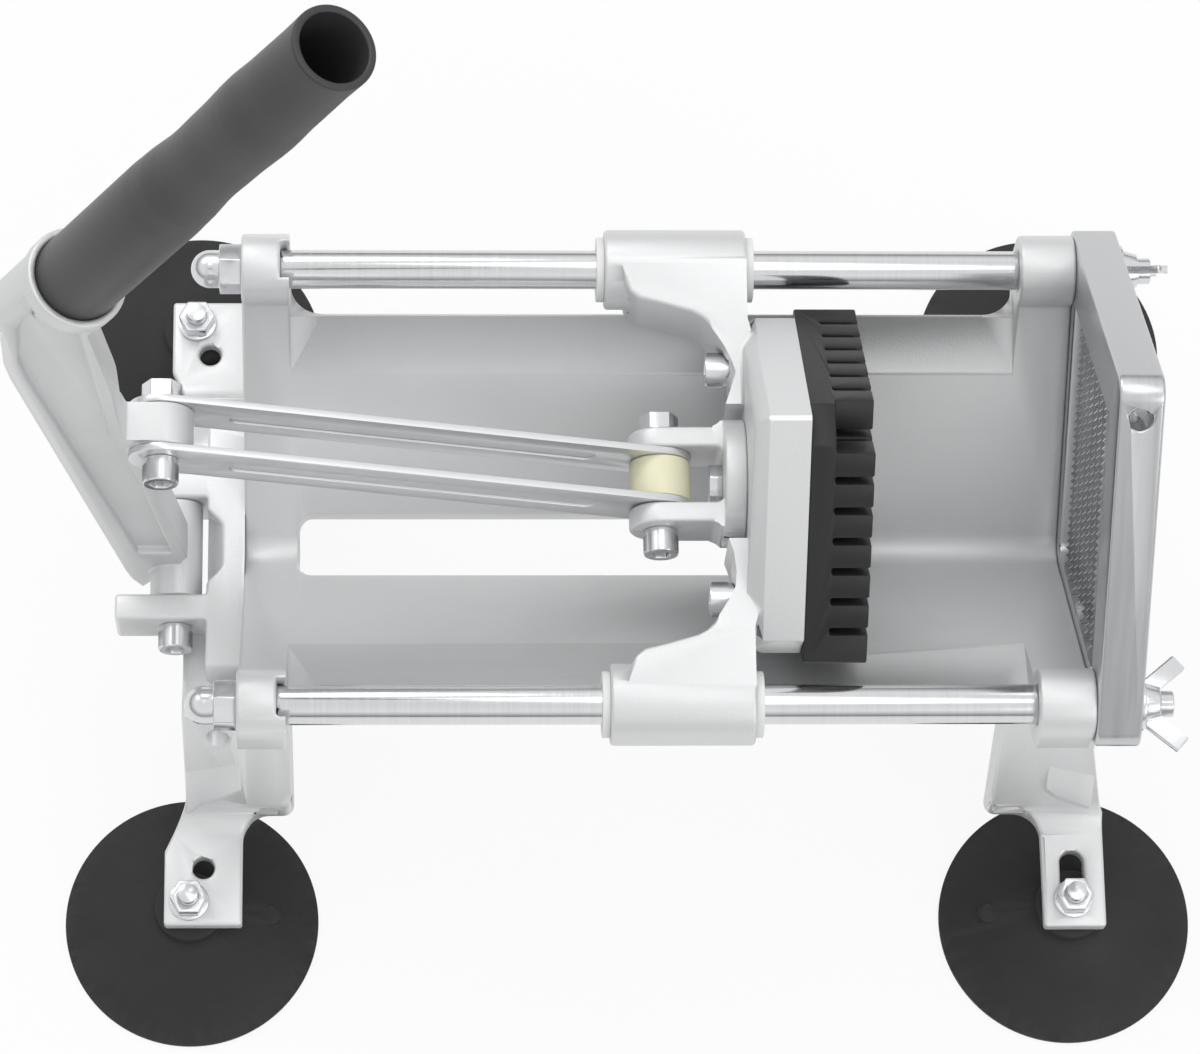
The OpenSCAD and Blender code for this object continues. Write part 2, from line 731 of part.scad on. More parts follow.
// One blade has its teeth towards the pusher and a hole for a retaining rod near each end
module blade(set_side) {
    x0 = blade_x0(set_side);
    half = window_side / 2 + blade_tongue - 2 * blade_play;
    teeth = floor((window_side - tooth_pitch) / tooth_pitch);
    start = -teeth * tooth_pitch / 2;
    along_y(-blade_t / 2, blade_t / 2) difference() {
        polygon(concat(
            [[x0 + blade_w, -half], [x0 + blade_w, half], [x0, half]],
            [for (i = [teeth : -1 : 1]) each [
                [x0, start + i * tooth_pitch],
                [x0 + tooth_depth, start + (i - 0.35) * tooth_pitch],
                [x0 + tooth_depth, start + (i - 0.65) * tooth_pitch]
            ]],
            [[x0, start], [x0, -half]]
        ));
        for (side = [-1, 1])
            translate([retainer_x(set_side), side * retainer_u]) circle(d = retainer_d + 2 * blade_play);
    }
}
module blades_front_set() {
    color("#b4b8bc") on_corner(SETS[0][0]) cut_row() blade(SETS[0][1]);
}
module blades_rear_set() {
    color("#b4b8bc") on_corner(SETS[1][0]) cut_row() blade(SETS[1][1]);
}
module blade_retaining_rods() {
    color("#9a9ea2") for (set = SETS) on_corner(set[0]) for (side = [-1, 1])
        translate([retainer_x(set[1]), 0, side * retainer_u]) from_end(set[1] * side)
            bar_y(retainer_d, retainer_sink - blade_frame_side / 2, retainer_stop);
}

// Suction feet
module suction_cup(inward) {
    difference() {
        union() {
            rotate_extrude() polygon([
                [0, 0],
                [cup_r, 0],
                [cup_r, cup_rim_t / 2],
                [cup_r * 0.86, cup_rim_t * 2],
                [cup_r * 0.6, cup_h * 0.47],
                [cup_hub_r * 1.15, cup_h - cup_hub_h],
                [cup_hub_r, cup_h - cup_hub_h],
                [cup_hub_r, cup_h],
                [0, cup_h]
            ]);
            translate([inward * cup_nub_reach, 0, cup_hub_h]) cylinder(r = cup_nub_r, h = cup_nub_h + cup_hub_h / 2);
        }
        translate([0, 0, -overrun]) cylinder(r1 = cup_hollow_r, r2 = cup_hollow_r * 0.5, h = cup_hollow_h + overrun);
        translate([0, 0, stud_root]) cylinder(d = m8_d + 2 * shaft_play, h = cup_h);
    }
}
module suction_cup_rear_near() {
    color("#26272a") translate([-foot_pitch_x / 2, -foot_pitch_y / 2, 0]) suction_cup(1);
}
module suction_cup_rear_far() {
    color("#26272a") translate([-foot_pitch_x / 2, foot_pitch_y / 2, 0]) suction_cup(1);
}
module suction_cup_front_near() {
    color("#26272a") translate([foot_pitch_x / 2, -foot_pitch_y / 2, 0]) suction_cup(-1);
}
module suction_cup_front_far() {
    color("#26272a") translate([foot_pitch_x / 2, foot_pitch_y / 2, 0]) suction_cup(-1);
}
module foot_places(z) {
    for (sx = [-1, 1], sy = [-1, 1]) translate([sx * foot_pitch_x / 2, sy * foot_pitch_y / 2, z]) children();
}
foot_nut_z = pad_z + m8_washer_t;
module foot_studs() {
    color("#c2c5c9") foot_places(stud_root) cylinder(d = m8_d, h = foot_nut_z + m8_nut_h + stud_above_nut - stud_root);
}
module foot_nuts() {
    color("#c2c5c9") foot_places(foot_nut_z) difference() {
        hex_z(m8_nut_af, 0, m8_nut_h);
        translate([0, 0, -overrun]) cylinder(d = m8_d + 2 * shaft_play, h = m8_nut_h + 2 * overrun);
    }
}
module foot_washers() {
    color("#c2c5c9") foot_places(pad_z) difference() {
        cylinder(d = m8_washer_d, h = m8_washer_t);
        translate([0, 0, -overrun]) cylinder(d = m8_d + 2 * screw_play, h = m8_washer_t + 2 * overrun);
    }
}

// Lever: a flat casting with a barrel at its foot, an eye for the links and a socket for the hand grip
module cap_screw_y(y_head, y_end) {
    difference() {
        union() {
            bar_y(m8_head_d, y_head - m8_head_h, y_head);
            bar_y(m8_d, y_head - overrun, y_end);
        }
        hex_y(m8_key_d, y_head - m8_head_h - overrun, y_head - m8_head_h + m8_key_depth);
    }
}
module nut_y(y0) {
    difference() {
        hex_y(m8_nut_af, y0, y0 + m8_nut_h);
        bar_y(m8_d + 2 * shaft_play, y0 - overrun, y0 + m8_nut_h + overrun);
    }
}
function scaled(points) = [for (p = points) p * lever_r];
module at_pivot() {
    translate([pivot_x, 0, pivot_h]) children();
}
module at_eye() {
    translate([pivot_x, 0, eye_z]) children();
}
module at_socket() {
    translate([socket_shares[0] * lever_r, 0, socket_shares[1] * lever_r]) rotate([0, grip_lean, 0]) children();
}
socket_r = grip_r + socket_wall;
bush_d = m8_d + 2 * bush_wall;
module lever_arm() {
    color("#d0d2d4") at_pivot() difference() {
        union() {
            difference() {
                union() {
                    along_y(-lever_t / 2, lever_t / 2)
                        polygon(concat(scaled(arm_back_shares), scaled(arm_front_shares)));
                    along_y(-lever_t / 2, lever_t / 2) translate([0, lever_r]) rotate(180)
                        translate([0, -eye_r]) square([eye_neck_share * lever_r, 2 * eye_r]);
                    socket_slab(socket_r, socket_len, lever_t / 2);
                }
                for (side = [0, 1]) mirror([0, side, 0])
                    along_y(lever_t / 2 - arm_pocket_depth, lever_t / 2 + overrun) polygon(scaled(arm_pocket_shares));
            }
            bar_y(2 * barrel_r, -barrel_half_w, barrel_half_w);
            translate([0, 0, lever_r]) bar_y(2 * eye_r, -eye_half_w, eye_half_w);
            at_socket() translate([0, 0, -socket_ring_h]) cylinder(r = socket_r, h = socket_ring_h);
            socket_slab(spigot_boss_r, spigot_len, spigot_boss_half_w);
        }
        bar_y(bush_d + 2 * shaft_play, -barrel_half_w - overrun, barrel_half_w + overrun);
        translate([0, 0, lever_r])
            bar_y(bush_d + 2 * shaft_play, -eye_half_w - overrun, eye_half_w + overrun);
        at_socket() {
            translate([0, 0, -socket_depth]) cylinder(r = grip_r + shaft_play, h = socket_depth + overrun);
            translate([0, 0, -spigot_len]) cylinder(r = spigot_r + shaft_play, h = spigot_len);
        }
    }
}
// The part of the arm below the grip: a round-ended bar along the grip's axis, cut flat at both sides
module socket_slab(r, len, half_w) {
    intersection() {
        at_socket() {
            translate([0, 0, -len]) cylinder(r = r, h = len - socket_ring_h / 2);
            translate([0, 0, -len]) sphere(r);
        }
        translate([-lever_r, -half_w, 0]) cube([2 * lever_r, 2 * half_w, 3 * lever_r]);
    }
}
// A station's radius is eased from one named share to the next
function ease(t) = (1 - cos(180 * t)) / 2;
function grip_points() = concat(
    [for (i = [0 : len(grip_station_shares) - 2], s = [0 : grip_steps - 1])
        let (a = grip_station_shares[i], b = grip_station_shares[i + 1], t = s / grip_steps)
        [grip_r * (a[1] + (b[1] - a[1]) * ease(t)), grip_len * (a[0] + (b[0] - a[0]) * t)]],
    [[grip_r * grip_station_shares[len(grip_station_shares) - 1][1], grip_len]]);
module lever_grip() {
    color("#3a3b3d") at_pivot() at_socket() rotate_extrude() polygon(concat(
        [[0, -spigot_len], [spigot_r, -spigot_len], [spigot_r, -socket_depth], [grip_r, -socket_depth]],
        grip_points(),
        [[grip_bore_r, grip_len], [grip_bore_r, grip_floor], [0, grip_floor]]
    ));
}
module bush_y(half_w) {
    difference() {
        bar_y(bush_d, -half_w, half_w);
        bar_y(m8_d + 2 * shaft_play, -half_w - overrun, half_w + overrun);
    }
}
module pivot_bush() {
    color("#b08d57") at_pivot() bush_y(barrel_half_w);
}
module link_eye_bush() {
    color("#b08d57") at_eye() bush_y(eye_half_w);
}
lug_out_y = lug_in_y + lug_t;
module pivot_bolt() {
    color("#c2c5c9") at_pivot() cap_screw_y(-lug_out_y - m8_washer_t, lug_out_y + m8_washer_t + m8_nut_h + overrun);
    color("#c2c5c9") at_pivot() difference() {
        bar_y(m8_head_d, -lug_out_y - m8_washer_t, -lug_out_y);
        bar_y(m8_d, -lug_out_y - m8_washer_t - overrun, -lug_out_y + overrun);
    }
}
module pivot_bolt_nut() {
    color("#c2c5c9") at_pivot() {
        nut_y(lug_out_y + m8_washer_t);
        difference() {
            bar_y(m8_washer_d, lug_out_y, lug_out_y + m8_washer_t);
            bar_y(m8_d + 2 * screw_play, lug_out_y - overrun, lug_out_y + m8_washer_t + overrun);
        }
    }
}

// Links: two pressed plates from the lever's eye to the clevis, each with one long bead
module link_plate(y0) {
    at_eye() rotate([0, link_angle, 0]) difference() {
        along_y(y0, y0 + link_t) difference() {
            pill(link_len, link_w);
            circle(d = m8_d + 2 * shaft_play);
            translate([link_len, 0]) circle(d = m8_d + 2 * screw_play);
        }
        along_y(y0 - overrun, y0 + bead_depth) translate([bead_margin, 0]) pill(link_len - 2 * bead_margin, bead_h);
    }
}
module link_near() {
    color("#c6c9cc") link_plate(-link_y1);
}
module link_far() {
    color("#c6c9cc") link_plate(link_y0);
}
module link_bolt() {
    color("#c2c5c9") at_eye() {
        cap_screw_y(-link_y1 - m8_washer_t, link_y1 + m8_washer_t + m8_nut_h + overrun);
        difference() {
            bar_y(m8_head_d, -link_y1 - m8_washer_t, -link_y1);
            bar_y(m8_d, -link_y1 - m8_washer_t - overrun, -link_y1 + overrun);
        }
    }
}
module link_bolt_nut() {
    color("#c2c5c9") at_eye() {
        nut_y(link_y1 + m8_washer_t);
        difference() {
            bar_y(m8_washer_d, link_y1, link_y1 + m8_washer_t);
            bar_y(m8_d + 2 * screw_play, link_y1 - overrun, link_y1 + m8_washer_t + overrun);
        }
    }
}

// Carriage: two rod bosses, curved webs and the square head behind the pusher
module carriage_web() {
    translate([0, 0, rod_h - web_half_h]) linear_extrude(2 * web_half_h)
        polygon([for (p = concat(web_back_shares, web_front_shares)) [x_boss0 + p[0] * carriage_len, p[1] * rod_y]]);
}
module pusher_outline(side_cut, apex_cut) {
    intersection() {
        rotate(45) square(pusher_side, center = true);
        square([2 * (half_diagonal - side_cut), 2 * (half_diagonal - apex_cut)], center = true);
    }
}
module pusher_carriage() {
    color("#cdcfd1") difference() {
        union() {
            both_sides() {
                translate([0, rod_y, rod_h]) bar_x(2 * carriage_boss_r, x_boss0, x_boss1);
                carriage_web();
            }
            translate([0, 0, rod_h]) difference() {
                along_x(x_head0, x_head1) pusher_outline(head_side_cut, head_apex_cut);
                for (turn = [45 : 90 : 315]) rotate([turn, 0, 0])
                    translate([x_head0, 0, pusher_side / 2]) rotate([0, 45, 0])
                        cube([head_chamfer * sqrt(2), 2 * pusher_side, head_chamfer * sqrt(2)], center = true);
            }
        }
        both_sides() {
            translate([0, rod_y, rod_h]) bar_x(2 * bush_r, x_boss0 - overrun, x_boss1 + overrun);
            translate([0, screw_y, rod_h]) {
                bar_x(2 * screw_seat_r, x_boss0, x_head0 - screw_seat_in);
                bar_x(m8_d + 2 * screw_play, x_boss0, x_head1 + overrun);
            }
        }
        translate([0, 0, rod_h]) bar_x(m8_d + 2 * screw_play, x_head0 - overrun, x_head1 + overrun);
    }
}
module rod_bushes(y) {
    translate([0, y, rod_h]) difference() {
        union() {
            bar_x(2 * bush_flange_r, x_boss0 - bush_flange_t, x_boss0);
            bar_x(2 * (bush_r - shaft_play), x_boss0, x_boss0 + bush_sleeve);
            bar_x(2 * (bush_r - shaft_play), x_boss1 - bush_sleeve, x_boss1);
            bar_x(2 * bush_flange_r, x_boss1, x_boss1 + bush_flange_t);
        }
        bar_x(rod_d + 2 * shaft_play, x_boss0 - bush_flange_t - overrun, x_boss1 + bush_flange_t + overrun);
    }
}
module rod_bushes_near() {
    color("#e3e4e2") rod_bushes(-rod_y);
}
module rod_bushes_far() {
    color("#e3e4e2") rod_bushes(rod_y);
}
module pusher_block() {
    color("#2f3033") translate([0, 0, rod_h]) difference() {
        along_x(x_head1, x_tips) pusher_outline(block_side_cut, block_apex_cut);
        for (turn = [45, -45]) rotate([turn, 0, 0]) cut_row()
            translate([x_pins, -slot_w / 2, -pusher_side]) cube([pin_len + overrun, slot_w, 2 * pusher_side]);
        for (up = [0, 180]) rotate([up, 0, 0]) rotate([45, 0, 0])
            translate([x_pins, (cut_count - 1) / 2 * cut_pitch, (cut_count - 1) / 2 * cut_pitch])
                cube([pin_len + overrun, pusher_side, pusher_side]);
        both_sides() translate([0, screw_y, 0])
            bar_x(m8_d + 2 * shaft_play, x_head1 - overrun, x_pins);
        bar_x(m8_d + 2 * shaft_play, x_head1 - overrun, x_pins);
    }
}
module pusher_screws() {
    seat = x_head0 - screw_seat_in;
    color("#b9bcc0") both_sides() translate([0, screw_y, rod_h]) difference() {
        union() {
            bar_x(m8_head_d, seat - m8_head_h - m8_washer_t, seat);
            bar_x(m8_d, seat - overrun, x_pins - overrun);
        }
        hex_x(m8_key_d, seat - m8_head_h - m8_washer_t - overrun, seat - m8_head_h - m8_washer_t + m8_key_depth);
    }
}

// Clevis on the back of the carriage, with the bolt and the spacer that carry the links
x_clevis_base = x_head0 - clevis_base_t;
module clevis() {
    color("#cdcfd1") difference() {
        union() {
            both_sides() along_y(ear_y0, ear_y1) translate([pin_x, pin_z]) {
                circle(ear_r);
                translate([0, -ear_r]) square([x_clevis_base + overrun - pin_x, 2 * ear_r]);
            }
            translate([0, 0, pin_z]) {
                bar_x(2 * clevis_flange_r, x_clevis_base, x_head0);
                intersection() {
                    bar_x(2 * clevis_flange_r, pin_x, x_head0);
                    both_sides() translate([x_clevis_base, 0, -ear_r]) linear_extrude(2 * ear_r) {
                        translate([0, ear_y1]) cove(ear_flare_r);
                        translate([0, ear_y0]) mirror([0, 1, 0]) cove(ear_cove_r);
                    }
                }
            }
        }
        translate([pin_x, 0, pin_z]) bar_y(m8_d + 2 * screw_play, -ear_y1 - overrun, ear_y1 + overrun);
        translate([0, 0, pin_z]) bar_x(m8_d + 2 * screw_play, x_clevis_base - overrun, x_head0 + overrun);
    }
}
module clevis_screw() {
    color("#b9bcc0") translate([0, 0, pin_z]) {
        hex_x(m8_nut_af, x_clevis_base - m8_nut_h * 0.8, x_clevis_base);
        bar_x(m8_d, x_clevis_base - overrun, x_pins - overrun);
    }
}
// The shank is left out where the link plates lie, so that they can part from it over the travel
module clevis_bolt() {
    color("#c2c5c9") translate([pin_x, 0, pin_z]) {
        cap_screw_y(-ear_y1 - m8_washer_t, -ear_y0);
        difference() {
            bar_y(m8_head_d, -ear_y1 - m8_washer_t, -ear_y1);
            bar_y(m8_d, -ear_y1 - m8_washer_t - overrun, -ear_y1 + overrun);
        }
        bar_y(m8_d, -eye_half_w, eye_half_w);
        bar_y(m8_d, ear_y0, ear_y1 + m8_washer_t + m8_nut_h + overrun);
    }
}
module clevis_bolt_nut() {
    color("#c2c5c9") translate([pin_x, 0, pin_z]) {
        nut_y(ear_y1 + m8_washer_t);
        difference() {
            bar_y(m8_washer_d, ear_y1, ear_y1 + m8_washer_t);
            bar_y(m8_d + 2 * screw_play, ear_y1 - overrun, ear_y1 + m8_washer_t + overrun);
        }
    }
}
module link_spacer() {
    color("#e4e2c9") translate([pin_x, 0, pin_z]) difference() {
        bar_y(2 * spacer_r, -eye_half_w, eye_half_w);
        bar_y(m8_d + 2 * shaft_play, -eye_half_w - overrun, eye_half_w + overrun);
    }
}

trough_body();
rear_leg_frame();
front_leg_frame();
leg_frame_bolts();
guide_rod_near();
guide_rod_far();
acorn_nuts();
blade_frame();
blades_front_set();
blades_rear_set();
blade_retaining_rods();
suction_cup_rear_near();
suction_cup_rear_far();
suction_cup_front_near();
suction_cup_front_far();
foot_studs();
foot_nuts();
foot_washers();
pivot_bolt();
pivot_bolt_nut();
lever_arm();
lever_grip();
pivot_bush();
link_eye_bush();
link_near();
link_far();
link_bolt();
link_bolt_nut();
pusher_carriage();
rod_bushes_near();
rod_bushes_far();
pusher_block();
pusher_screws();
clevis();
clevis_bolt();
clevis_bolt_nut();
clevis_screw();
link_spacer();
wing_nut_near();
wing_nut_far();
wing_nut_washers();
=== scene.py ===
from math import atan2, pi, radians, tan

import bmesh
import bpy
from mathutils import Matrix, Vector
from mathutils.bvhtree import BVHTree
from mathutils.geometry import intersect_point_line


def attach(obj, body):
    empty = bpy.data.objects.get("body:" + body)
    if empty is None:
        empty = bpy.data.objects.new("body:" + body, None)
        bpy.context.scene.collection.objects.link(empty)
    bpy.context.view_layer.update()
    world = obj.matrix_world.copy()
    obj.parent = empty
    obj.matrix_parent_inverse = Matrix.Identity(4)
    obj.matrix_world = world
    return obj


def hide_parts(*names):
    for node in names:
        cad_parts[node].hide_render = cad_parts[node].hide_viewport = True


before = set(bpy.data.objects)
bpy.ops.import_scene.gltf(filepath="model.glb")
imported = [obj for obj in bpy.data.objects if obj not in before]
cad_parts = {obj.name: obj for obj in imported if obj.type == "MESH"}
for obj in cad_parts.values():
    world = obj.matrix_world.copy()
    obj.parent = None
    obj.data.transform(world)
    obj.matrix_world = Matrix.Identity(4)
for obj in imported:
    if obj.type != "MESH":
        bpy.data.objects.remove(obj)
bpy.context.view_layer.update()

# The camera stands high above the near side and looks steeply down, as in the photograph. The slicer's rods lie
# level in the picture. It is turned a little to the right of square, and its lens is long, so the far side is
# hardly smaller than the near one.
MM = 0.001
CAMERA_PLACE = Vector((-0.093, -0.650, 1.9665))
CAMERA_PITCH = radians(19.5)
CAMERA_YAW = radians(-2.29)
CAMERA_LENS_MM = 150
CAMERA_FILM_MM = 36
CAMERA_SIGHT = 20
bpy.ops.object.select_all(action="DESELECT")
scene = bpy.context.scene
scene.view_settings.view_transform = "Standard"
camera_data = bpy.data.cameras.new("camera")
camera_data.lens = CAMERA_LENS_MM
camera_data.sensor_width = CAMERA_FILM_MM
camera_data.clip_end = CAMERA_SIGHT
camera = bpy.data.objects.new("camera", camera_data)
scene.collection.objects.link(camera)
camera_turn = Matrix.Rotation(CAMERA_PITCH, 4, "X") @ Matrix.Rotation(CAMERA_YAW, 4, "Y")
camera.matrix_world = Matrix.Translation(CAMERA_PLACE) @ camera_turn
scene.camera = camera


# The studio is a pale room with a floor under the suction feet. The room is lighter overhead than at its horizon,
# which draws the long dark and bright lines on the polished rods, and the camera sees plain white behind the slicer.
def new_material(name):
    material = bpy.data.materials.new(name)
    material.use_nodes = True
    material.node_tree.nodes.clear()
    return material


def add_node(tree, kind, place=(0, 0), **settings):
    node = tree.nodes.new(kind)
    node.location = place
    for key, value in settings.items():
        setattr(node, key, value)
    return node


ROOM_WHITE = 1.0
ROOM_STOPS = [(0.0, 0.36), (0.46, 0.40), (0.53, 0.24), (0.62, 0.62), (0.78, 1.02), (1.0, 0.88)]
room = bpy.data.worlds.new("studio_room")
room.use_nodes = True
tree = room.node_tree
tree.nodes.clear()
ray = add_node(tree, "ShaderNodeLightPath", (-800, 400))
direction = add_node(tree, "ShaderNodeTexCoord", (-1200, 0))
split = add_node(tree, "ShaderNodeSeparateXYZ", (-1000, 0))
height = add_node(tree, "ShaderNodeMapRange", (-800, 0))
height.inputs["From Min"].default_value = -1
shades = add_node(tree, "ShaderNodeValToRGB", (-600, 0))
for stop in ROOM_STOPS[2:]:
    shades.color_ramp.elements.new(0.5)
for element, (place, shade) in zip(shades.color_ramp.elements, ROOM_STOPS):
    element.position = place
    element.color = (shade, shade, shade, 1)
soft = add_node(tree, "ShaderNodeBackground", (-300, 0))
plain = add_node(tree, "ShaderNodeBackground", (-300, 200))
plain.inputs["Color"].default_value = (ROOM_WHITE, ROOM_WHITE, ROOM_WHITE, 1)
mix = add_node(tree, "ShaderNodeMixShader", (0, 100))
out = add_node(tree, "ShaderNodeOutputWorld", (200, 100))
tree.links.new(direction.outputs["Generated"], split.inputs[0])
tree.links.new(split.outputs["Z"], height.inputs["Value"])
tree.links.new(height.outputs["Result"], shades.inputs["Fac"])
tree.links.new(shades.outputs["Color"], soft.inputs["Color"])
tree.links.new(ray.outputs["Is Camera Ray"], mix.inputs["Fac"])
tree.links.new(soft.outputs[0], mix.inputs[1])
tree.links.new(plain.outputs[0], mix.inputs[2])
tree.links.new(mix.outputs[0], out.inputs["Surface"])
scene.world = room

FLOOR_HALF = 4.0
FLOOR_DROP = 0.0005
FLOOR_SHADE = 0.80
FLOOR_WHITE_SHARE = 0.88
bpy.ops.mesh.primitive_plane_add(size=2 * FLOOR_HALF, location=(0, 0, -FLOOR_DROP))
floor_piece = bpy.context.object
floor_piece.name = "studio_floor"
floor_paint = new_material("floor_paint")
tree = floor_paint.node_tree
ray = add_node(tree, "ShaderNodeLightPath", (-800, 400))
seen = add_node(tree, "ShaderNodeMath", (-600, 400), operation="MAXIMUM")
seen_through = add_node(tree, "ShaderNodeMath", (-400, 400), operation="MAXIMUM")
share = add_node(tree, "ShaderNodeMath", (-200, 400), operation="MULTIPLY")
share.inputs[1].default_value = FLOOR_WHITE_SHARE
matt = add_node(tree, "ShaderNodeBsdfDiffuse", (-300, 0))
matt.inputs["Color"].default_value = (FLOOR_SHADE, FLOOR_SHADE, FLOOR_SHADE, 1)
white = add_node(tree, "ShaderNodeEmission", (-300, -200))
white.inputs["Color"].default_value = (ROOM_WHITE, ROOM_WHITE, ROOM_WHITE, 1)
mix = add_node(tree, "ShaderNodeMixShader", (0, 0))
out = add_node(tree, "ShaderNodeOutputMaterial", (200, 0))
tree.links.new(ray.outputs["Is Camera Ray"], seen.inputs[0])
tree.links.new(ray.outputs["Is Glossy Ray"], seen.inputs[1])
tree.links.new(seen.outputs[0], seen_through.inputs[0])
tree.links.new(ray.outputs["Is Transmission Ray"], seen_through.inputs[1])
tree.links.new(seen_through.outputs[0], share.inputs[0])
tree.links.new(share.outputs[0], mix.inputs["Fac"])
tree.links.new(matt.outputs[0], mix.inputs[1])
tree.links.new(white.outputs[0], mix.inputs[2])
tree.links.new(mix.outputs[0], out.inputs["Surface"])
floor_piece.data.materials.append(floor_paint)


def add_lamp(name, place, aim, size, watts):
    data = bpy.data.lights.new(name, "AREA")
    data.shape = "RECTANGLE"
    data.size, data.size_y = size
    data.energy = watts
    lamp = bpy.data.objects.new(name, data)
    scene.collection.objects.link(lamp)
    lamp.location = place
    lamp.rotation_euler = (Vector(aim) - Vector(place)).to_track_quat("-Z", "Y").to_euler()
    return lamp


add_lamp("lamp_far_left", place=(-0.9, 1.3, 1.7), aim=(0, 0, 0.15), size=(1.4, 0.8), watts=9.5)
add_lamp("lamp_overhead", place=(0.3, 0.2, 2.2), aim=(0, 0, 0.15), size=(1.6, 1.0), watts=6.5)
add_lamp("lamp_near_right", place=(1.4, -1.2, 1.2), aim=(0, 0, 0.2), size=(1.0, 0.7), watts=6)


# The trough is one aluminium casting: a V with a round valley, a flatter flange along each side, an end plate at
# either end and a boss for each rod. It is cast in sand and blasted, so it has a fine, even, matt grain and soft
# edges.
def new_group(name, inputs, outputs):
    group = bpy.data.node_groups.new(name, "ShaderNodeTree")
    for socket, value in inputs.items():
        entry = group.interface.new_socket(socket, in_out="INPUT", socket_type="NodeSocketFloat")
        entry.default_value = value
    for socket, kind in outputs.items():
        group.interface.new_socket(socket, in_out="OUTPUT", socket_type=kind)
    return group


def cast_grain_group():
    """Fine blasted grain over broad, faint cloudiness. Height is for bump, and Shade is a value about 1."""
    group = new_group("cast_grain", {"Grain per metre": 2200, "Cloud per metre": 30, "Cloud depth": 0.06},
                      {"Height": "NodeSocketFloat", "Shade": "NodeSocketFloat"})
    entry = add_node(group, "NodeGroupInput", (-900, 0))
    leave = add_node(group, "NodeGroupOutput", (600, 0))
    place = add_node(group, "ShaderNodeTexCoord", (-900, -300))
    grain = add_node(group, "ShaderNodeTexNoise", (-500, 200))
    grain.inputs["Detail"].default_value = 3
    cloud = add_node(group, "ShaderNodeTexNoise", (-500, -200))
    cloud.inputs["Detail"].default_value = 4
    centred = add_node(group, "ShaderNodeMath", (-250, -200), operation="SUBTRACT")
    centred.inputs[1].default_value = 0.5
    deep = add_node(group, "ShaderNodeMath", (0, -200), operation="MULTIPLY")
    shade = add_node(group, "ShaderNodeMath", (250, -200), operation="ADD")
    shade.inputs[1].default_value = 1
    group.links.new(place.outputs["Object"], grain.inputs["Vector"])
    group.links.new(place.outputs["Object"], cloud.inputs["Vector"])
    group.links.new(entry.outputs["Grain per metre"], grain.inputs["Scale"])
    group.links.new(entry.outputs["Cloud per metre"], cloud.inputs["Scale"])
    group.links.new(cloud.outputs["Fac"], centred.inputs[0])
    group.links.new(centred.outputs[0], deep.inputs[0])
    group.links.new(entry.outputs["Cloud depth"], deep.inputs[1])
    group.links.new(deep.outputs[0], shade.inputs[0])
    group.links.new(grain.outputs["Fac"], leave.inputs["Height"])
    group.links.new(shade.outputs[0], leave.inputs["Shade"])
    return group


# By pointiness: where the painted highlight on outer edges starts, and how far in it reaches.
EDGE_REACH = 0.08
EDGE_START = 0.51


def painted_edge_highlight_group():
    """A mask that is 1 on an outer edge, where a highlight is painted lighter, and 0 on the faces."""
    group = new_group("painted_edge_highlight", {"Reach": EDGE_REACH}, {"Mask": "NodeSocketFloat"})
    entry = add_node(group, "NodeGroupInput", (-600, 0))
    leave = add_node(group, "NodeGroupOutput", (400, 0))
    shape = add_node(group, "ShaderNodeNewGeometry", (-600, 200))
    rise = add_node(group, "ShaderNodeMath", (-300, 100), operation="SUBTRACT")
    rise.inputs[1].default_value = EDGE_START
    share = add_node(group, "ShaderNodeMath", (-50, 0), operation="DIVIDE", use_clamp=True)
    group.links.new(shape.outputs["Pointiness"], rise.inputs[0])
    group.links.new(rise.outputs[0], share.inputs[0])
    group.links.new(entry.outputs["Reach"], share.inputs[1])
    group.links.new(share.outputs[0], leave.inputs["Mask"])
    return group


CAST_GRAIN = cast_grain_group()
PAINTED_EDGE_HIGHLIGHT = painted_edge_highlight_group()


def use_group(tree, group, place, **values):
    node = add_node(tree, "ShaderNodeGroup", place)
    node.node_tree = group
    for key, value in values.items():
        node.inputs[key.replace("_", " ")].default_value = value
    return node


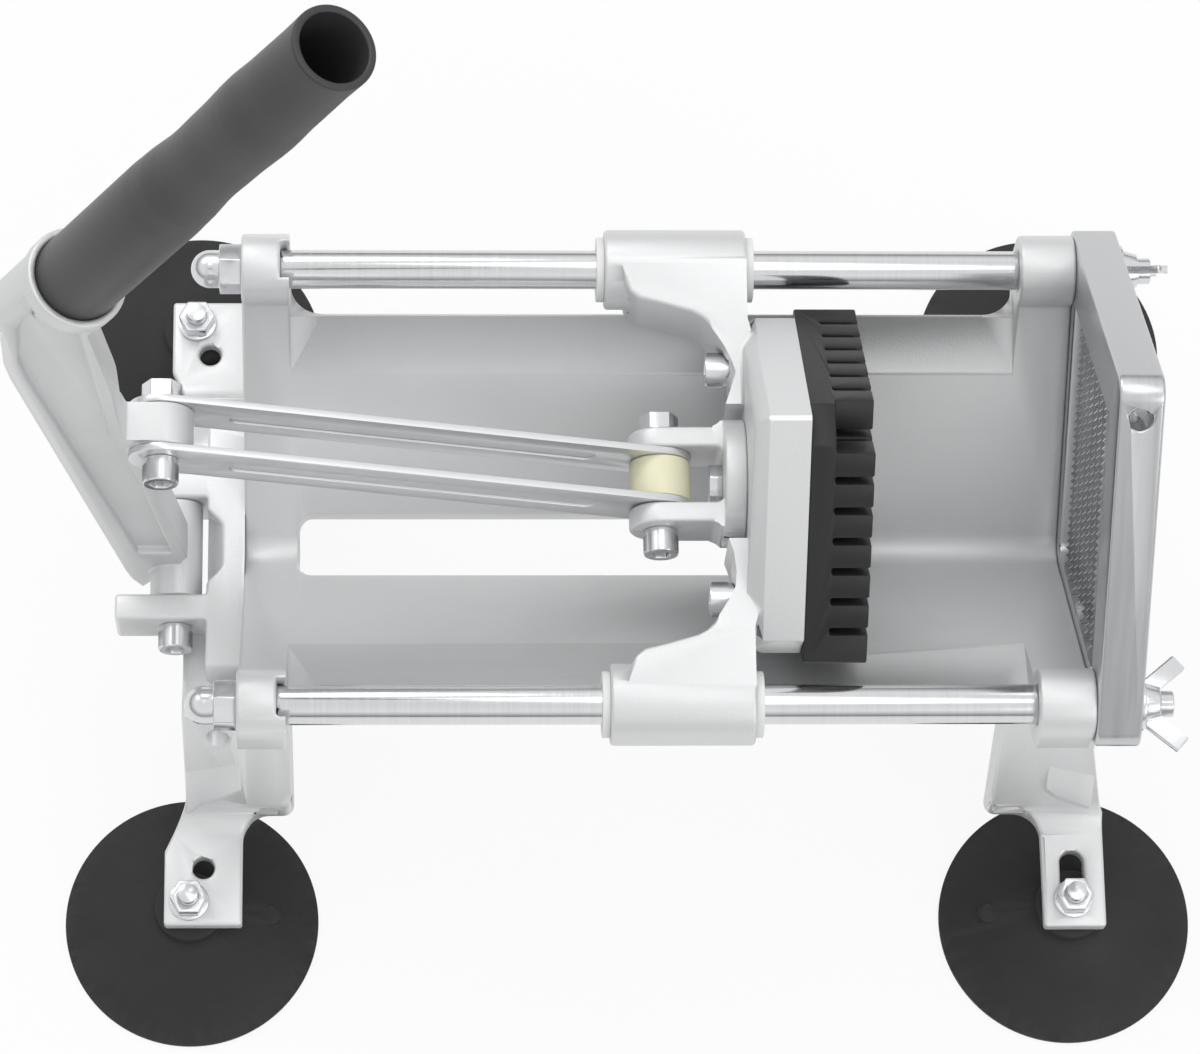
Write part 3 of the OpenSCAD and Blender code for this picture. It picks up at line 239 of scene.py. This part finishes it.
def grained_material(name, color, metallic, rough, rough_spread, bump_mm, grain, cloud, cloud_depth,
                     highlight_gain=1.12, gloss=0.5):
    """A blasted or moulded surface: one colour with cloudy shade, a painted highlight on its outer edges, and grain
    in roughness and bump.

    Grain and cloud are counted per metre. The gain, given after the cloud depth, is how much lighter the painted
    highlight on outer edges is.
    """
    material = new_material(name)
    tree = material.node_tree
    surface = add_node(tree, "ShaderNodeBsdfPrincipled", (300, 0))
    surface.inputs["Metallic"].default_value = metallic
    surface.inputs["Specular IOR Level"].default_value = gloss
    out = add_node(tree, "ShaderNodeOutputMaterial", (600, 0))
    cast = use_group(tree, CAST_GRAIN, (-900, 0), Grain_per_metre=grain, Cloud_per_metre=cloud,
                     Cloud_depth=cloud_depth)
    edge = use_group(tree, PAINTED_EDGE_HIGHLIGHT, (-900, 400), Reach=EDGE_REACH)
    tint = add_node(tree, "ShaderNodeVectorMath", (-500, 200), operation="SCALE")
    tint.inputs[0].default_value = color
    # Outer edges are painted lighter by the gain. This is a painted highlight where they catch the light.
    edge_highlight = add_node(tree, "ShaderNodeMix", (-200, 300), data_type="RGBA")
    edge_highlight.inputs["B"].default_value = (*[min(c * highlight_gain, 1) for c in color], 1)
    worn = add_node(tree, "ShaderNodeMapRange", (-300, 0))
    worn.inputs["To Min"].default_value = rough - rough_spread
    worn.inputs["To Max"].default_value = rough + rough_spread
    bump = add_node(tree, "ShaderNodeBump", (-300, -300))
    bump.inputs["Strength"].default_value = 1
    bump.inputs["Distance"].default_value = bump_mm * MM
    tree.links.new(cast.outputs["Shade"], tint.inputs["Scale"])
    tree.links.new(edge.outputs["Mask"], edge_highlight.inputs["Factor"])
    tree.links.new(tint.outputs[0], edge_highlight.inputs["A"])
    tree.links.new(edge_highlight.outputs["Result"], surface.inputs["Base Color"])
    tree.links.new(cast.outputs["Height"], worn.inputs["Value"])
    tree.links.new(worn.outputs["Result"], surface.inputs["Roughness"])
    tree.links.new(cast.outputs["Height"], bump.inputs["Height"])
    tree.links.new(bump.outputs[0], surface.inputs["Normal"])
    tree.links.new(surface.outputs[0], out.inputs["Surface"])
    return material


def new_piece(name, mesh):
    piece = bpy.data.objects.new(name, mesh)
    scene.collection.objects.link(piece)
    bpy.ops.object.select_all(action="DESELECT")
    bpy.context.view_layer.objects.active = piece
    piece.select_set(True)
    return piece


def finish_piece(piece, body, material, replaced=(), smooth=32):
    """Sets a made piece's finish, its body and the CAD nodes that it stands for."""
    piece.data.materials.clear()
    piece.data.materials.append(material)
    bpy.ops.object.select_all(action="DESELECT")
    bpy.context.view_layer.objects.active = piece
    piece.select_set(True)
    bpy.ops.object.shade_smooth_by_angle(angle=radians(smooth))
    piece.select_set(False)
    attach(piece, body)
    if replaced:
        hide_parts(*replaced)
    return piece


SEAM_MM = 0.002
FLAT_TURN = radians(0.6)
SPECK_AREA = 1e-10
FOLDED_OVER = -0.2
LIFTED_SHARE = 0.6
CROWDED_SHARE = 2.5


def rounding_faults(piece, plain_skin, reach):
    """Where the rounded mesh folds over or stands well off the plain one, with the plain face next to it."""
    faults = []
    for face in piece.data.polygons:
        near, normal, index, gap = plain_skin.find_nearest(face.center)
        if face.area > SPECK_AREA and face.normal.dot(normal) < FOLDED_OVER:
            faults.append((face.center.copy(), index))
    for vertex in piece.data.vertices:
        near, normal, index, gap = plain_skin.find_nearest(vertex.co)
        if gap > LIFTED_SHARE * reach:
            faults.append((vertex.co.copy(), index))
    return faults


def edges_near(point, face, span):
    """The indexes of a plain face's edges that pass within the span of a point."""
    found = set()
    for edge in face.edges:
        start, end = (v.co for v in edge.verts)
        closest, share = intersect_point_line(point, start, end)
        if share < 0 or share > 1:
            closest = start if share < 0 else end
        if (closest - point).length < span:
            found.add(edge.index)
    return found


def softened(node, edge_mm, segments=3, angle=32, tries=8):
    """A copy of a CAD node with rounded edges, as casting or tumbling leaves them.

    Where a round would run into its neighbour and fold over, the edge there is left as it is.
    """
    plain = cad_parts[node].data.copy()
    piece = new_piece(node + "_finish", plain)
    bpy.ops.object.mode_set(mode="EDIT")
    bpy.ops.mesh.select_all(action="SELECT")
    bpy.ops.mesh.remove_doubles(threshold=SEAM_MM * MM)
    bpy.ops.mesh.dissolve_limited(angle_limit=FLAT_TURN)
    bpy.ops.object.mode_set(mode="OBJECT")
    shape = bmesh.new()
    shape.from_mesh(plain)
    plain_skin = BVHTree.FromBMesh(shape)
    shape.edges.ensure_lookup_table()
    shape.faces.ensure_lookup_table()
    sharp = {e.index for e in shape.edges
             if len(e.link_faces) == 2 and e.calc_face_angle(0) > radians(angle)}
    reach = edge_mm * MM
    for attempt in range(tries):
        rounded = plain.copy()
        weights = rounded.attributes.new("bevel_weight_edge", "FLOAT", "EDGE")
        for index in sharp:
            weights.data[index].value = 1
        piece.data = rounded
        bevel = piece.modifiers.new("soft_edges", "BEVEL")
        bevel.width = reach
        bevel.segments = segments
        bevel.limit_method = "WEIGHT"
        bevel.use_clamp_overlap = False
        bevel.miter_outer = "MITER_ARC"
        bpy.ops.object.modifier_apply(modifier=bevel.name)
        faults = rounding_faults(piece, plain_skin, reach)
        if not faults:
            break
        for point, index in faults:
            sharp -= edges_near(point, shape.faces[index], CROWDED_SHARE * reach)
    shape.free()
    return piece


CAST_ALUMINIUM = grained_material("cast_aluminium", (0.66, 0.665, 0.67), metallic=0.5, rough=0.45,
                                  rough_spread=0.09, bump_mm=0.09, grain=1500, cloud=26, cloud_depth=0.10)
trough = softened("trough_body", 1.4)
finish_piece(trough, "frame", CAST_ALUMINIUM, ["trough_body"])

# The leg frames are castings of the same alloy, bolted under the end plates. The rear one carries the lever's fork.
# Each leg has a raised web across its slope, a little above the bend to its foot pad.
LEG_ALUMINIUM = grained_material("leg_aluminium", (0.70, 0.705, 0.71), metallic=0.5, rough=0.44,
                                 rough_spread=0.09, bump_mm=0.09, grain=1500, cloud=26, cloud_depth=0.10)
LEG_EDGE_MM = 1.4
PAD_TOP_MM = 34
LEG_FOOT_MM = 88.7
LEG_SLOPE = tan(radians(71))
WEB_OUT_MM = 1.6
WEB_UP_MM = 4.5
WEB_TAIL_MM = 2
WEB_SINK_MM = 0.1
WEB_INWARDS_MM = 3
WEB_DOWN_MM = 1
WEB_ROUND_MM = 0.6
REAR_WEB_MM = [(-178.2, 63, 36), (-172.3, 64.5, 43), (-165, 66.5, 46), (-156, 69, 51)]
FRONT_WEB_MM = [(165.2, 66, 51), (170.1, 64, 46), (178, 61.5, 42), (184.4, 60, 39)]


def leg_web(name, side, stations_mm):
    """A raised web on one leg: a sheet laid from its upper line over its ridge to the bend, thickened inwards.

    Each station is the place along the slicer, the height of the upper line and the height of the lower one.
    """
    bpy.ops.mesh.primitive_grid_add(x_subdivisions=len(stations_mm) - 1, y_subdivisions=2, size=2)
    web = bpy.context.object
    web.name = name
    rows = sorted({round(v.co.y, 4) for v in web.data.vertices})
    columns = sorted({round(v.co.x, 4) for v in web.data.vertices})
    for vertex in web.data.vertices:
        x, upper_z, lower_z = stations_mm[columns.index(round(vertex.co.x, 4))]
        row = rows.index(round(vertex.co.y, 4))
        z = [upper_z, lower_z, lower_z - WEB_TAIL_MM][row]
        y = LEG_FOOT_MM - (z - PAD_TOP_MM) / LEG_SLOPE - WEB_SINK_MM
        if row == 1:
            y += WEB_OUT_MM
            z += WEB_UP_MM
        vertex.co = Vector((x, side * y, z)) * MM
    bpy.ops.object.mode_set(mode="EDIT")
    bpy.ops.mesh.select_all(action="SELECT")
    inwards = (0, -side * WEB_INWARDS_MM * MM, -WEB_DOWN_MM * MM)
    bpy.ops.mesh.extrude_region_move(TRANSFORM_OT_translate={"value": inwards})
    bpy.ops.mesh.select_all(action="SELECT")
    bpy.ops.mesh.normals_make_consistent(inside=False)
    bpy.ops.object.mode_set(mode="OBJECT")
    bevel = web.modifiers.new("cast_round", "BEVEL")
    bevel.width = WEB_ROUND_MM * MM
    bevel.segments = 2
    bpy.ops.object.modifier_apply(modifier=bevel.name)
    bpy.ops.object.select_all(action="DESELECT")
    return web


def join_to(piece, extras):
    """Makes the extras one mesh with the piece that they belong to."""
    bpy.ops.object.select_all(action="DESELECT")
    for extra in extras:
        extra.select_set(True)
    piece.select_set(True)
    bpy.context.view_layer.objects.active = piece
    bpy.ops.object.join()


for node, stations in [("rear_leg_frame", REAR_WEB_MM), ("front_leg_frame", FRONT_WEB_MM)]:
    legs = softened(node, LEG_EDGE_MM)
    join_to(legs, [leg_web("web_near", -1, stations), leg_web("web_far", 1, stations)])
    finish_piece(legs, "frame", LEG_ALUMINIUM, [node])


# The guide rods are ground and polished steel bars, turned down and threaded at both ends. They pass through the
# trough's bosses, and an acorn nut holds each at the rear. The small fasteners are plated bright and tumbled.
GROUND_LONG_WAVE = 25
GROUND_DARK_SHARE = 0.86
GROUND_SMOOTH_SHARE = 0.7
GROUND_DULL_SHARE = 1.4
GROUND_BUMP_SHARE = 0.6


def ground_material(name, color, rough, lines, depth_mm, axis):
    """Ground or brushed metal: fine lines square to the given axis, in the roughness and the bump."""
    material = new_material(name)
    tree = material.node_tree
    surface = add_node(tree, "ShaderNodeBsdfPrincipled", (300, 0))
    surface.inputs["Metallic"].default_value = 1
    out = add_node(tree, "ShaderNodeOutputMaterial", (600, 0))
    place = add_node(tree, "ShaderNodeTexCoord", (-1100, 0))
    stretch = add_node(tree, "ShaderNodeMapping", (-900, 0))
    stretch.inputs["Scale"].default_value = [lines if a == axis else GROUND_LONG_WAVE for a in "XYZ"]
    scratch = add_node(tree, "ShaderNodeTexNoise", (-700, 0))
    scratch.inputs["Scale"].default_value = 1
    scratch.inputs["Detail"].default_value = 4
    tint = add_node(tree, "ShaderNodeMix", (-300, 300), data_type="RGBA")
    tint.inputs["A"].default_value = (*[c * GROUND_DARK_SHARE for c in color], 1)
    tint.inputs["B"].default_value = (*color, 1)
    worn = add_node(tree, "ShaderNodeMapRange", (-300, 0))
    worn.inputs["To Min"].default_value = rough * GROUND_SMOOTH_SHARE
    worn.inputs["To Max"].default_value = rough * GROUND_DULL_SHARE
    bump = add_node(tree, "ShaderNodeBump", (-300, -300))
    bump.inputs["Strength"].default_value = GROUND_BUMP_SHARE
    bump.inputs["Distance"].default_value = depth_mm * MM
    tree.links.new(place.outputs["Object"], stretch.inputs["Vector"])
    tree.links.new(stretch.outputs[0], scratch.inputs["Vector"])
    tree.links.new(scratch.outputs["Fac"], tint.inputs["Factor"])
    tree.links.new(tint.outputs["Result"], surface.inputs["Base Color"])
    tree.links.new(scratch.outputs["Fac"], worn.inputs["Value"])
    tree.links.new(worn.outputs["Result"], surface.inputs["Roughness"])
    tree.links.new(scratch.outputs["Fac"], bump.inputs["Height"])
    tree.links.new(bump.outputs[0], surface.inputs["Normal"])
    tree.links.new(surface.outputs[0], out.inputs["Surface"])
    return material


ROD_STEEL = ground_material("rod_steel", (0.74, 0.75, 0.76), rough=0.16, lines=900, depth_mm=0.004, axis="X")
ZINC = ground_material("bright_zinc", (0.76, 0.77, 0.79), rough=0.22, lines=400, depth_mm=0.004, axis="Z")
FASTENER_EDGE_MM = 0.4
for node in ["guide_rod_near", "guide_rod_far"]:
    rod = softened(node, 0.5)
    finish_piece(rod, "frame", ROD_STEEL, [node])
for node in ["acorn_nuts", "leg_frame_bolts", "foot_studs", "foot_nuts", "foot_washers", "pivot_bolt_nut",
             "wing_nut_washers"]:
    finish_piece(softened(node, FASTENER_EDGE_MM, 2), "frame", ZINC, [node])
for node, body in [("link_bolt_nut", "links"), ("clevis_bolt_nut", "pusher"), ("clevis_screw", "pusher")]:
    finish_piece(softened(node, FASTENER_EDGE_MM, 2), body, ZINC, [node])

# The cap screws have knurled heads with a hexagon socket. Each knurled band is rolled on, with its ridges along the
# screw, and its ends stop short of the head's rounded rims.
HEAD_R_MM = 6.5
KNURL_RIDGES = 44
KNURL_RISE_MM = 0.22
KNURL_LEN_MM = 6.2
KNURL_SET_MM = 0.9
KNURL_LIP_SHARE = 0.88
PUSHER_SCREW_ROWS_MM = (-46.5, 46.5)


def knurled_band(centre, turn):
    """A ridged tube round a screw head, with a narrow lip at either end."""
    bpy.ops.mesh.primitive_cylinder_add(vertices=2 * KNURL_RIDGES, radius=(HEAD_R_MM + KNURL_RISE_MM) * MM,
                                        depth=KNURL_LEN_MM * MM, end_fill_type="NOTHING", location=(0, 0, 0))
    band = bpy.context.object
    groove_share = (HEAD_R_MM - KNURL_RISE_MM / 2) / (HEAD_R_MM + KNURL_RISE_MM)
    for vertex in band.data.vertices:
        place = round(atan2(vertex.co.y, vertex.co.x) / pi * KNURL_RIDGES)
        if place % 2:
            vertex.co.x *= groove_share
            vertex.co.y *= groove_share
    bpy.ops.object.mode_set(mode="EDIT")
    bpy.ops.mesh.select_all(action="SELECT")
    bpy.ops.mesh.extrude_region_move(TRANSFORM_OT_translate={"value": (0, 0, 0)})
    bpy.ops.transform.resize(value=(KNURL_LIP_SHARE, KNURL_LIP_SHARE, 1), center_override=(0, 0, 0))
    bpy.ops.mesh.select_all(action="SELECT")
    bpy.ops.mesh.normals_make_consistent(inside=False)
    bpy.ops.object.mode_set(mode="OBJECT")
    band.data.transform(Matrix.Translation(centre) @ turn)
    bpy.ops.object.select_all(action="DESELECT")
    return band


def cap_screws(node, body, axis, rows_mm=(None,)):
    """The cap screws of one CAD node, whose heads all point down the given axis.

    Screws side by side have a row each, which is their place across the slicer.
    """
    piece = softened(node, FASTENER_EDGE_MM, 2)
    corners = [v.co for v in piece.data.vertices]
    end = min(c[axis] for c in corners)
    middle = [(min(c[a] for c in corners) + max(c[a] for c in corners)) / 2 for a in range(3)]
    turn = Matrix.Rotation(pi / 2, 4, "Y" if axis == 0 else "X")
    bands = []
    for row in rows_mm:
        centre = Vector(middle)
        centre[axis] = end + (KNURL_SET_MM + KNURL_LEN_MM / 2) * MM
        if row is not None:
            centre.y = row * MM
        bands.append(knurled_band(centre, turn))
    join_to(piece, bands)
    finish_piece(piece, body, ZINC, [node], smooth=20)


cap_screws("pivot_bolt", "frame", 1)
cap_screws("link_bolt", "links", 1)
cap_screws("clevis_bolt", "pusher", 1)
cap_screws("pusher_screws", "pusher", 0, PUSHER_SCREW_ROWS_MM)

# The two wing nuts are cast and plated, with a flat slab for each wing. They are turned by hand on the rods' front
# ends and clamp the blade cartridge there.
for node in ["wing_nut_near", "wing_nut_far"]:
    finish_piece(softened(node, 0.6, 2), node, ZINC, [node])

# The blade cartridge is a brushed stainless frame that stands on one corner. It holds two crossing sets of toothed
# blades, which are ground from strip and kept in place by thin rods through their ends.
FRAME_STEEL = ground_material("frame_steel", (0.62, 0.63, 0.64), rough=0.30, lines=500, depth_mm=0.01, axis="X")
BLADE_STEEL = ground_material("blade_steel", (0.70, 0.71, 0.72), rough=0.22, lines=300, depth_mm=0.004, axis="X")
finish_piece(softened("blade_frame", 1.3, 3), "frame", FRAME_STEEL, ["blade_frame"])
for node in ["blades_front_set", "blades_rear_set", "blade_retaining_rods"]:
    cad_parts[node].data.materials.clear()
    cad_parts[node].data.materials.append(BLADE_STEEL)

# The four suction feet are moulded in soft black rubber, each round the head of a stud that a nut holds to the
# leg's pad.
RUBBER = grained_material("foot_rubber", (0.020, 0.020, 0.021), metallic=0.0, rough=0.62, rough_spread=0.08,
                          bump_mm=0.03, grain=900, cloud=40, cloud_depth=0.7, highlight_gain=1.3, gloss=0.35)
for node in ["suction_cup_rear_near", "suction_cup_rear_far", "suction_cup_front_near", "suction_cup_front_far"]:
    finish_piece(softened(node, 1.0), "frame", RUBBER, [node])

# The lever's arm is an aluminium casting with a barrel at its foot, an eye for the links and a socket at its head.
# The hollow grip is moulded plastic, pushed into the socket. Bronze bushes line the barrel and the eye.
finish_piece(softened("lever_arm", 1.0), "lever", CAST_ALUMINIUM, ["lever_arm"])
GRIP_PLASTIC = grained_material("grip_plastic", (0.040, 0.040, 0.043), metallic=0.0, rough=0.42, rough_spread=0.05,
                                bump_mm=0.02, grain=1600, cloud=30, cloud_depth=0.15, highlight_gain=1.2, gloss=0.4)
finish_piece(softened("lever_grip", 0.8), "lever", GRIP_PLASTIC, ["lever_grip"])
BRONZE = grained_material("bush_bronze", (0.40, 0.26, 0.12), metallic=1.0, rough=0.35, rough_spread=0.05,
                          bump_mm=0.02, grain=1500, cloud=60, cloud_depth=0.2)
for node in ["pivot_bush", "link_eye_bush"]:
    finish_piece(softened(node, 0.3, 2), "lever", BRONZE, [node])

# The links are two plates pressed from steel sheet, with a long bead along each that stiffens it. They run from the
# lever's eye to the clevis.
LINK_STEEL = grained_material("link_steel", (0.68, 0.69, 0.70), metallic=0.85, rough=0.34, rough_spread=0.06,
                              bump_mm=0.02, grain=2600, cloud=30, cloud_depth=0.06)
for node in ["link_near", "link_far"]:
    finish_piece(softened(node, 0.4, 2), "links", LINK_STEEL, [node])

# The carriage and its clevis are castings, screwed together. The black pusher is moulded plastic with square pins,
# held by the two cap screws. White bushes slide on the rods, and a cream roller fills the clevis between the links.
finish_piece(softened("pusher_carriage", 1.5), "pusher", CAST_ALUMINIUM, ["pusher_carriage"])
finish_piece(softened("clevis", 1.2), "pusher", CAST_ALUMINIUM, ["clevis"])
PUSHER_PLASTIC = grained_material("pusher_plastic", (0.016, 0.016, 0.017), metallic=0.0, rough=0.40,
                                  rough_spread=0.05, bump_mm=0.02, grain=1200, cloud=30, cloud_depth=0.3,
                                  highlight_gain=1.3, gloss=0.35)
finish_piece(softened("pusher_block", 0.7, 2), "pusher", PUSHER_PLASTIC, ["pusher_block"])
NYLON = grained_material("white_nylon", (0.70, 0.71, 0.70), metallic=0.0, rough=0.45, rough_spread=0.05,
                         bump_mm=0.02, grain=900, cloud=30, cloud_depth=0.05)
CREAM = grained_material("cream_nylon", (0.72, 0.70, 0.50), metallic=0.0, rough=0.40, rough_spread=0.05,
                         bump_mm=0.02, grain=900, cloud=30, cloud_depth=0.08)
for node in ["rod_bushes_near", "rod_bushes_far"]:
    finish_piece(softened(node, 0.4, 2), "pusher", NYLON, [node])
finish_piece(softened("link_spacer", 0.8, 2), "pusher", CREAM, ["link_spacer"])
